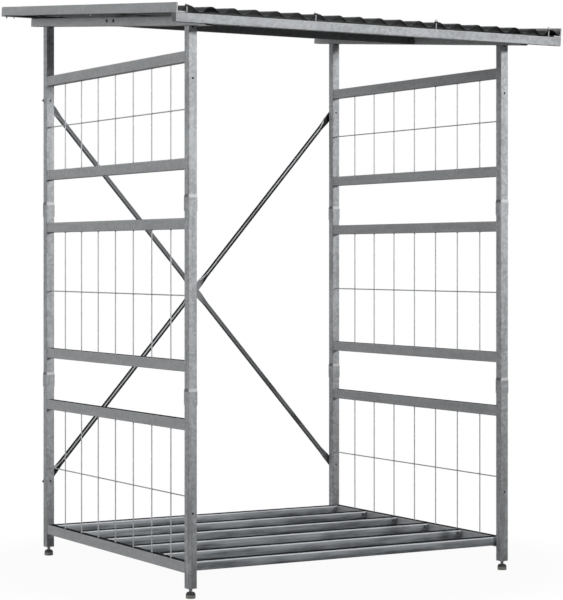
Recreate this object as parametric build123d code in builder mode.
# Log store: an open stacking frame of galvanised square tube on levelling feet.
# Three tiers of side frames plug into each other with swaged sockets, six floor bars
# tie the two sides, crossed braces stiffen the rear, and a corrugated sheet in an
# angle iron surround makes the roof, which falls towards the open front.
# Millimetres, X to the right, Y to the rear, Z up. The origin is on the ground,
# under the middle of the whole outline.

import os
from math import acos, cos, degrees, hypot, radians, sin, tan

from build123d import *

os.makedirs("parts", exist_ok=True)

# Main frame
frame_width = 1225.0            # over the posts, across the front
frame_depth = 1124.0            # over the posts, front to rear
post_size = 30.0
post_wall = 1.5
post_corner = 3.0
rail_height = 35.0
rail_thickness = 25.0
rail_wall = 1.5
rail_corner = 3.0

# Levelling feet
foot_diameter = 31.0
foot_edge = 1.5                 # bevel on the sole
foot_pad_height = 9.0
foot_dome_height = 11.0
foot_dome_top = 17.0            # width of the flat on the dome
foot_stem_diameter = 12.0
foot_stem_show = 11.0           # bare stem between dome and post
foot_stem_inside = 28.0
plug_height = 18.0
plug_clearance = 0.2
thread_clearance = 0.2

# How much of each post shows, below the next post or the rafter
lower_post_show = 571.5
middle_post_show = 605.5
upper_post_show = 577.5         # at the front

# Rail centres, up from the lower end of their posts or down from the upper end
lower_bottom_rail_rise = 63.0
lower_top_rail_drop = 62.5
middle_bottom_rail_rise = 120.5
middle_top_rail_drop = 39.0
upper_bottom_rail_rise = 148.0
upper_top_rail_drop = 94.5

# Brace holes, from the lowest and the highest rails
lower_hole_rise = 171.5
upper_hole_drop = 69.5

# Swaged sockets at the lower ends of the middle and upper posts
socket_depth = 42.0
socket_taper = 10.0
socket_clearance = 0.25

# Wire infill
wire_diameter = 4.0
wire_sides = 8
wire_weld_bite = 0.4
upright_wires = 7
upright_wire_pitch = 135.6
upright_wire_shift = -8.2       # along the rail from its middle, towards the front
level_wire_shift = -2.5         # up from midway between the rails
upper_level_wire_shift = 4.0

# Floor
floor_bar_size = 30.0
floor_bar_wall = 1.5
floor_bar_corner = 3.0
floor_bars = 6
lug_length = 36.0
lug_height = 22.0
lug_thickness = 4.0
lug_clearance = 0.3
floor_bolt_inset = 17.0         # from the end of the bar
floor_bolt_drop = 10.0          # below the top of the bar

# Fixings
bolt_diameter = 6.0
bolt_clearance = 0.6            # on the diameter
bolt_head_diameter = 10.0
bolt_head_height = 3.5
nut_height = 5.0

# Crossed braces at the rear
brace_diameter = 18.0
brace_wall = 1.5
tongue_width = 25.0
tongue_thickness = 3.2
tongue_end = 15.0               # beyond the end bolt
tongue_reach = 42.0             # inwards from the end bolt
crossing_reach = 34.0           # either side of the crossing bolt
flattening_length = 42.0

# Roof
roof_pitch = 5.3                # degrees
rafter_size = 30.0
rafter_wall = 1.5
rafter_corner = 3.0
front_overhang = 139.0          # front post to the front purlin's face
rear_overhang = 110.0
middle_purlin_run = 556.0       # from the front posts up the slope
flange_length = 80.0
flange_thickness = 3.0
flange_bolt_spacing = 51.0
angle_height = 30.0
angle_leg = 30.0
angle_thickness = 4.0
vent_diameter = 8.0             # zinc drains out here at the posts' upper ends
vent_drop = 3.0                 # below the rafter

# Corrugated sheet
corrugation_pitch = 76.2
corrugation_depth = 18.0
sheet_thickness = 0.8
corrugations = 19
sheet_side_clearance = 0.3
sheet_rear_clearance = 2.0

# What follows from them
post_height = foot_pad_height + foot_dome_height + foot_stem_show
middle_post_height = post_height + lower_post_show
upper_post_height = middle_post_height + middle_post_show
rafter_seat_height = upper_post_height + upper_post_show   # over the middle of the front posts
lower_bottom_rail_height = post_height + lower_bottom_rail_rise
lower_top_rail_height = middle_post_height - lower_top_rail_drop
middle_bottom_rail_height = middle_post_height + middle_bottom_rail_rise
middle_top_rail_height = upper_post_height - middle_top_rail_drop
upper_bottom_rail_height = upper_post_height + upper_bottom_rail_rise
upper_top_rail_height = rafter_seat_height - upper_top_rail_drop
lower_hole_height = lower_bottom_rail_height + lower_hole_rise
upper_hole_height = upper_top_rail_height - upper_hole_drop
hole_diameter = bolt_diameter + bolt_clearance
post_x = (frame_width - post_size) / 2
slope = radians(roof_pitch)
rear_post_distance = frame_depth - post_size
rafter_start = -(front_overhang + post_size / 2) / cos(slope)
rafter_end = (rear_post_distance + post_size / 2 + rear_overhang) / cos(slope)
roof_height = rafter_size + angle_thickness + angle_height
front_reach = -rafter_start * cos(slope) + roof_height * sin(slope)
rear_reach = rafter_end * cos(slope)
front_y = front_reach - (front_reach + rear_reach) / 2   # middle of the front posts
rear_y = front_y + rear_post_distance
socket_size = post_size + 2 * (socket_clearance + post_wall)
rail_length = rear_post_distance - post_size
rail_middle_y = (front_y + rear_y) / 2
rail_inner_x = post_x - rail_thickness / 2

sides = {"left": -1, "right": 1}
places = {"front": front_y, "rear": rear_y}


def save(piece, name):
    piece.part.label = name
    export_step(piece.part, f"parts/{name}.step")


def tube_section(width, height, corner, wall):
    RectangleRounded(width, height, corner)
    RectangleRounded(width - 2 * wall, height - 2 * wall, corner - wall, mode=Mode.SUBTRACT)


def post_plane(side, y, height):
    return Plane((side * post_x, y, height))


# A plane on the rafters' underside: its x runs across and its y up the slope
def roof_point(x, run, rise):
    y = front_y + run * cos(slope) - rise * sin(slope)
    z = rafter_seat_height + run * sin(slope) + rise * cos(slope)
    return (x, y, z)


up_slope = (0, cos(slope), sin(slope))
down_slope = (0, -cos(slope), -sin(slope))
roof_normal = (0, -sin(slope), cos(slope))


# Posts
def post_hole(side, y, height, diameter=hole_diameter):
    with Locations((side * post_x, y, height)):
        Cylinder(diameter / 2, 2 * post_size, rotation=(90, 0, 0), mode=Mode.SUBTRACT)


def socket_post(side, y, bottom, top):
    # The socket: the tube's end swaged out over the post below, with a short taper
    inner_corner = post_corner - post_wall
    taper_start = bottom + socket_depth
    taper_end = taper_start + socket_taper
    bore = post_size - 2 * post_wall
    with BuildPart() as post:
        with BuildSketch(post_plane(side, y, bottom)):
            tube_section(socket_size, socket_size, post_corner + post_wall, post_wall)
        extrude(amount=socket_depth)
        with BuildSketch(post_plane(side, y, taper_start)):
            RectangleRounded(socket_size, socket_size, post_corner + post_wall)
        with BuildSketch(post_plane(side, y, taper_end)):
            RectangleRounded(post_size, post_size, post_corner)
        loft()
        with BuildSketch(post_plane(side, y, taper_start)):
            RectangleRounded(socket_size - 2 * post_wall, socket_size - 2 * post_wall, post_corner)
        with BuildSketch(post_plane(side, y, taper_end)):
            RectangleRounded(bore, bore, inner_corner)
        loft(mode=Mode.SUBTRACT)
        with BuildSketch(post_plane(side, y, taper_end)):
            tube_section(post_size, post_size, post_corner, post_wall)
        extrude(amount=top - taper_end)
    return post


for side_name, side in sides.items():
    for place_name, y in places.items():
        with BuildPart() as lower_post:
            with BuildSketch(post_plane(side, y, post_height)):
                tube_section(post_size, post_size, post_corner, post_wall)
            extrude(amount=middle_post_height + socket_depth - post_height)
            post_hole(side, y, lower_hole_height)
        save(lower_post, f"lower_{side_name}_{place_name}_post")

        middle_top = upper_post_height + socket_depth
        middle_post = socket_post(side, y, middle_post_height, middle_top)
        save(middle_post, f"middle_{side_name}_{place_name}_post")

        # The upper posts are cut off at the roof's pitch, where the rafter is welded on
        upper_top = rafter_seat_height + (y - front_y) * tan(slope)
        uncut_post = socket_post(side, y, upper_post_height, upper_top + post_size)
        with BuildPart() as upper_post:
            add(uncut_post.part)
            split(bisect_by=Plane(roof_point(0, 0, 0), z_dir=roof_normal), keep=Keep.BOTTOM)
            post_hole(side, y, upper_hole_height)
            post_hole(side, y, upper_top - vent_drop, vent_diameter)
        save(upper_post, f"upper_{side_name}_{place_name}_post")


# Rails and wire infill of each tier
tiers = {
    "lower": (lower_bottom_rail_height, lower_top_rail_height, level_wire_shift),
    "middle": (middle_bottom_rail_height, middle_top_rail_height, level_wire_shift),
    "upper": (upper_bottom_rail_height, upper_top_rail_height, upper_level_wire_shift),
}
wire_offset = (wire_diameter - wire_weld_bite) / 2

for side_name, side in sides.items():
    for tier_name, (bottom_rail, top_rail, wire_shift) in tiers.items():
        with BuildPart() as rails:
            with BuildSketch(Plane.XZ.offset(-rail_middle_y)):
                with Locations((side * post_x, bottom_rail), (side * post_x, top_rail)):
                    tube_section(rail_thickness, rail_height, rail_corner, rail_wall)
            extrude(amount=rail_length / 2, both=True)
        save(rails, f"{tier_name}_{side_name}_rails")

        upright_bottom = bottom_rail + rail_height / 2
        upright_length = top_rail - bottom_rail - rail_height
        outer_x = side * (post_x + wire_offset)
        inner_x = side * (post_x - wire_offset)
        with BuildPart() as wires:
            with BuildSketch(Plane((outer_x, rail_middle_y + upright_wire_shift, upright_bottom))):
                with GridLocations(0, upright_wire_pitch, 1, upright_wires):
                    RegularPolygon(wire_diameter / 2, wire_sides)
            extrude(amount=upright_length)
            with BuildSketch(Plane.XZ.offset(-rail_middle_y)):
                with Locations((inner_x, (bottom_rail + top_rail) / 2 + wire_shift)):
                    RegularPolygon(wire_diameter / 2, wire_sides)
            extrude(amount=rail_length / 2, both=True)
        save(wires, f"{tier_name}_{side_name}_wires")


# Levelling feet and the threaded plugs that they screw into
for side_name, side in sides.items():
    for place_name, y in places.items():
        with BuildPart() as foot:
            with BuildSketch(Plane((side * post_x, y, 0), x_dir=(1, 0, 0), z_dir=(0, -1, 0))):
                with BuildLine():
                    radius = foot_diameter / 2
                    stem = foot_stem_diameter / 2
                    dome_top = foot_pad_height + foot_dome_height
                    stem_top = post_height + foot_stem_inside
                    pad_edge = (radius, foot_pad_height)
                    Polyline((0, 0), (radius - foot_edge, 0), (radius, foot_edge), pad_edge)
                    TangentArc(pad_edge, (foot_dome_top / 2, dome_top), tangent=(0, 1))
                    Polyline((foot_dome_top / 2, dome_top), (stem, dome_top), (stem, stem_top))
                    Polyline((stem, stem_top), (0, stem_top), (0, 0))
                make_face()
            revolve(axis=Axis((side * post_x, y, 0), (0, 0, 1)))
        save(foot, f"{side_name}_{place_name}_foot")

with BuildPart() as plugs:
    plug_size = post_size - 2 * (post_wall + plug_clearance)
    with BuildSketch(Plane.XY.offset(post_height)):
        with Locations([(side * post_x, y) for side in sides.values() for y in places.values()]):
            RectangleRounded(plug_size, plug_size, post_corner - post_wall)
            Circle(foot_stem_diameter / 2 + thread_clearance, mode=Mode.SUBTRACT)
    extrude(amount=plug_height)
save(plugs, "threaded_plugs")


# Floor bars between the bottom rails, level with their tops
bar_z = lower_bottom_rail_height + (rail_height - floor_bar_size) / 2
bar_length = 2 * rail_inner_x
first_bar_y = front_y + (post_size + floor_bar_size) / 2
last_bar_y = rear_y - (post_size + floor_bar_size) / 2
bar_spacing = (last_bar_y - first_bar_y) / (floor_bars - 1)
bar_places = [first_bar_y + bar_spacing * bar for bar in range(floor_bars)]
bolt_z = bar_z + floor_bar_size / 2 - floor_bolt_drop
bolt_x = rail_inner_x - floor_bolt_inset
bolt_places = [(side * bolt_x, y) for side in sides.values() for y in bar_places[1:-1]]


def floor_bar(bar_places, hole_places):
    with BuildPart() as bars:
        with BuildSketch(Plane.YZ):
            with Locations([(y, bar_z) for y in bar_places]):
                tube_section(floor_bar_size, floor_bar_size, floor_bar_corner, floor_bar_wall)
        extrude(amount=bar_length / 2, both=True)
        for x, y in hole_places:
            with Locations((x, y - floor_bar_size / 2, bolt_z)):
                Cylinder(
                    hole_diameter / 2,
                    2 * floor_bar_corner,
                    rotation=(90, 0, 0),
                    mode=Mode.SUBTRACT,
                )
    return bars


save(floor_bar(bar_places[:1], []), "front_floor_bar")
save(floor_bar(bar_places[1:-1], bolt_places), "middle_floor_bars")
save(floor_bar(bar_places[-1:], []), "rear_floor_bar")

# Lugs welded to the rails, which the bars slide over
lug_y = [y - floor_bar_size / 2 + floor_bar_wall + lug_clearance for y in bar_places]
with BuildPart() as lugs:
    for side in sides.values():
        lug_x = side * (rail_inner_x - lug_length / 2)
        with Locations([(lug_x, y + lug_thickness / 2, bar_z) for y in lug_y]):
            Box(lug_length, lug_thickness, lug_height)
        with Locations([(side * bolt_x, y, bolt_z) for y in lug_y[1:-1]]):
            Cylinder(hole_diameter / 2, 3 * lug_thickness, rotation=(90, 0, 0), mode=Mode.SUBTRACT)
save(lugs, "floor_lugs")

with BuildPart() as floor_bolts:
    shank = floor_bar_wall + lug_clearance + lug_thickness + nut_height
    for x, y in bolt_places:
        face_y = y - floor_bar_size / 2
        with BuildSketch(Plane.XZ.offset(-face_y)):
            with Locations((x, bolt_z)):
                Circle(bolt_head_diameter / 2)
        extrude(amount=bolt_head_height)
        with BuildSketch(Plane.XZ.offset(-face_y)):
            with Locations((x, bolt_z)):
                Circle(bolt_diameter / 2)
        extrude(amount=-shank)
save(floor_bolts, "floor_bolts")


# Rafters on the posts
rafter_length = rafter_end - rafter_start - rafter_size


def along_slope(x, run, rise):
    return Plane(roof_point(x, run, rise), x_dir=(1, 0, 0), z_dir=down_slope)


def across_roof(x, run, rise):
    return Plane(roof_point(x, run, rise), x_dir=up_slope, z_dir=(1, 0, 0))


purlin_bolt_rise = rail_height / 2
purlin_bolt_runs = [middle_purlin_run + way * flange_bolt_spacing / 2 for way in (-1, 1)]

for side_name, side in sides.items():
    with BuildPart() as rafter:
        start = rafter_start + rafter_size
        with BuildSketch(along_slope(side * post_x, start, rafter_size / 2)):
            tube_section(rafter_size, rafter_size, rafter_corner, rafter_wall)
        extrude(amount=-rafter_length)
        for run in purlin_bolt_runs:
            with BuildSketch(across_roof(side * post_x, run, purlin_bolt_rise)):
                Circle(hole_diameter / 2)
            extrude(amount=rafter_size, both=True, mode=Mode.SUBTRACT)
    save(rafter, f"{side_name}_rafter")


# Purlins: the front one stands across the rafters' ends and its top carries the side
# angles, the middle one is a length of rail with flanges that are bolted to the rafters
rear_angle_rise = rafter_size
side_angle_rise = rear_angle_rise + angle_thickness
roof_half_width = corrugation_pitch * corrugations / 2 + sheet_side_clearance + angle_thickness
purlin_half_length = post_x - rafter_size / 2

with BuildPart() as front_purlin:
    purlin_rise = side_angle_rise - rafter_size / 2
    with BuildSketch(across_roof(0, rafter_start + rafter_size / 2, purlin_rise)):
        tube_section(rafter_size, rafter_size, rafter_corner, rafter_wall)
    extrude(amount=roof_half_width, both=True)
save(front_purlin, "front_purlin")

with BuildPart() as middle_purlin:
    with BuildSketch(across_roof(0, middle_purlin_run, rail_height / 2)):
        tube_section(rail_thickness, rail_height, rail_corner, rail_wall)
    extrude(amount=purlin_half_length - flange_thickness, both=True)
    for side in sides.values():
        with BuildSketch(across_roof(side * purlin_half_length, middle_purlin_run, rail_height / 2)):
            Rectangle(flange_length, rail_height)
            with GridLocations(flange_bolt_spacing, 0, 2, 1):
                Circle(hole_diameter / 2, mode=Mode.SUBTRACT)
        extrude(amount=-side * flange_thickness)
save(middle_purlin, "middle_purlin")

with BuildPart() as purlin_bolts:
    grip = rafter_size + flange_thickness
    for side in sides.values():
        outer_x = side * (post_x + rafter_size / 2)
        for run in purlin_bolt_runs:
            with BuildSketch(across_roof(outer_x, run, purlin_bolt_rise)):
                RegularPolygon(bolt_head_diameter / 2, 6)
            extrude(amount=side * bolt_head_height)
            with BuildSketch(across_roof(outer_x, run, purlin_bolt_rise)):
                Circle(bolt_diameter / 2)
            extrude(amount=-side * (grip + nut_height))
            with BuildSketch(across_roof(outer_x - side * grip, run, purlin_bolt_rise)):
                RegularPolygon(bolt_head_diameter / 2, 6)
            extrude(amount=-side * nut_height)
save(purlin_bolts, "purlin_bolts")


# Angle irons round the sheet: the rear one lies on the rafters, the side ones on its leg
roof_length = rafter_end - rafter_start

for side_name, side in sides.items():
    with BuildPart() as side_angle:
        with BuildSketch(along_slope(side * roof_half_width, rafter_start, side_angle_rise)):
            with BuildLine():
                Polyline(
                    (0, 0),
                    (-side * angle_leg, 0),
                    (-side * angle_leg, angle_thickness),
                    (-side * angle_thickness, angle_thickness),
                    (-side * angle_thickness, angle_height),
                    (0, angle_height),
                    close=True,
                )
            make_face()
        extrude(amount=angle_thickness - roof_length)
    save(side_angle, f"{side_name}_roof_angle")

with BuildPart() as rear_angle:
    with BuildSketch(across_roof(0, rafter_end, rear_angle_rise)):
        with BuildLine():
            Polyline(
                (0, 0),
                (-angle_leg, 0),
                (-angle_leg, angle_thickness),
                (-angle_thickness, angle_thickness),
                (-angle_thickness, angle_height),
                (0, angle_height),
                close=True,
            )
        make_face()
    extrude(amount=roof_half_width, both=True)
save(rear_angle, "rear_roof_angle")


# Corrugated sheet: crests and valleys are equal arcs that meet at a tangent
quarter = corrugation_pitch / 4
wave_radius = (quarter**2 + (corrugation_depth / 2) ** 2) / corrugation_depth
half_turn = degrees(acos(1 - corrugation_depth / 2 / wave_radius))


def wave_line(height, valley_radius, crest_radius):
    start = (-corrugation_pitch * corrugations / 2, height)
    arc = JernArc(start, (1, 0), valley_radius, half_turn)
    for crest in range(corrugations):
        arc = JernArc(arc @ 1, arc % 1, crest_radius, -2 * half_turn)
        turn = half_turn if crest == corrugations - 1 else 2 * half_turn
        arc = JernArc(arc @ 1, arc % 1, valley_radius, turn)
    return start, arc @ 1


sheet_seat = side_angle_rise + angle_thickness
sheet_length = roof_length - angle_thickness - sheet_rear_clearance
half_sheet = sheet_thickness / 2

with BuildPart() as roof_sheet:
    with BuildSketch(along_slope(0, rafter_start, sheet_seat)):
        with BuildLine():
            under_start, under_end = wave_line(0, wave_radius + half_sheet, wave_radius - half_sheet)
            over_start, over_end = wave_line(
                sheet_thickness, wave_radius - half_sheet, wave_radius + half_sheet
            )
            Line(under_start, over_start)
            Line(under_end, over_end)
        make_face()
    extrude(amount=-sheet_length)
save(roof_sheet, "roof_sheet")


# Crossed braces: tube flattened to a tongue at both ends and where they cross
brace_x = 2 * post_x
brace_z = upper_hole_height - lower_hole_height
brace_length = hypot(brace_x, brace_z)
brace_middle_z = (upper_hole_height + lower_hole_height) / 2
rear_face = rear_y + post_size / 2


def brace_holes(side):
    return [
        (side * post_x, lower_hole_height),
        (0, brace_middle_z),
        (-side * post_x, upper_hole_height),
    ]


def brace(side, shift):
    # side is where the brace starts low; shift is how far its body lies behind its ends
    along = Vector(-side * brace_x, 0, brace_z).normalized()

    def station(distance, behind):
        point = Vector(0, rear_face + tongue_thickness / 2 + behind, brace_middle_z)
        return Plane(point + along * distance, x_dir=(0, 1, 0), z_dir=along)

    end_flat = brace_length / 2 - tongue_reach
    end_round = end_flat - flattening_length
    mid_round = crossing_reach + flattening_length
    tongues = [(-crossing_reach, crossing_reach, shift)]
    flattenings = []
    tubes = []
    for way in (-1, 1):
        tongues.append((way * end_flat, way * (brace_length / 2 + tongue_end), 0))
        flattenings.append((way * end_flat, 0, way * end_round))
        flattenings.append((way * crossing_reach, shift, way * mid_round))
        tubes.append((way * mid_round, way * end_round))
    with BuildPart() as piece:
        for start, end, behind in tongues:
            with BuildSketch(station(start, behind)):
                RectangleRounded(tongue_thickness, tongue_width, 0.49 * tongue_thickness)
            extrude(amount=end - start)
        for flat, behind, full in flattenings:
            with BuildSketch(station(flat, behind)):
                RectangleRounded(tongue_thickness, tongue_width, 0.49 * tongue_thickness)
            with BuildSketch(station(full, shift)):
                Circle(brace_diameter / 2)
            loft()
        for start, end in tubes:
            with BuildSketch(station(start, shift)):
                Circle(brace_diameter / 2)
                Circle(brace_diameter / 2 - brace_wall, mode=Mode.SUBTRACT)
            extrude(amount=end - start)
        with Locations([(x, rear_face, z) for x, z in brace_holes(side)]):
            Cylinder(hole_diameter / 2, 4 * tongue_width, rotation=(90, 0, 0), mode=Mode.SUBTRACT)
    return piece


save(brace(-1, 0), "rising_right_brace")
save(brace(1, tongue_thickness), "rising_left_brace")

with BuildPart() as brace_bolts:
    end_places = [(side * post_x, z) for side in (-1, 1) for z in (lower_hole_height, upper_hole_height)]
    end_back = rear_face + tongue_thickness
    crossing_back = rear_face + 2 * tongue_thickness
    fixings = [(x, z, end_back, tongue_thickness + post_wall) for x, z in end_places]
    fixings.append((0, brace_middle_z, crossing_back, 2 * tongue_thickness))
    for x, z, back, grip in fixings:
        with BuildSketch(Plane.XZ.offset(-back)):
            with Locations((x, z)):
                RegularPolygon(bolt_head_diameter / 2, 6)
        extrude(amount=-bolt_head_height)
        with BuildSketch(Plane.XZ.offset(-back)):
            with Locations((x, z)):
                Circle(bolt_diameter / 2)
        extrude(amount=grip + nut_height)
        with BuildSketch(Plane.XZ.offset(-(back - grip))):
            with Locations((x, z)):
                RegularPolygon(bolt_head_diameter / 2, 6)
        extrude(amount=nut_height)
save(brace_bolts, "brace_bolts")
